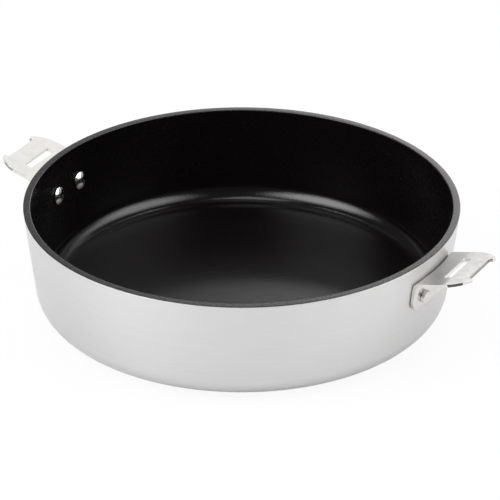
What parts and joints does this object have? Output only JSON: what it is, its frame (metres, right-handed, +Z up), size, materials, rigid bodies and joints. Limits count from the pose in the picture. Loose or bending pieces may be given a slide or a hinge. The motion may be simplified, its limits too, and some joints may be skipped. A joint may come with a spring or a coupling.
{
  "type": "sauteuse pan",
  "caption": "Round pan with a tapered wall, black non-stick inside, thick flat base and two riveted slotted tabs that take clip-on handles.",
  "frame": {"origin": "centre of the underside, on the plane the pan stands on", "axes": "+Z up along the pan's axis, +X towards the right bracket, -X towards the left bracket"},
  "size_m": [0.3452, 0.28, 0.071],
  "materials": {
    "aluminium": "fine horizontal brushing",
    "nonstick": "black satin non-stick coating with a fine sparkle",
    "magnetic_steel": "turned",
    "stainless_sheet": "satin",
    "rivet_steel": "polished"
  },
  "bodies": {
    "root": {"pan_body": "aluminium", "nonstick_lining": "nonstick", "induction_plate": "magnetic_steel", "right_bracket": "stainless_sheet", "left_bracket": "stainless_sheet", "right_front_rivet": "rivet_steel", "right_rear_rivet": "rivet_steel", "left_front_rivet": "rivet_steel", "left_rear_rivet": "rivet_steel"}
  },
  "joints": []
}
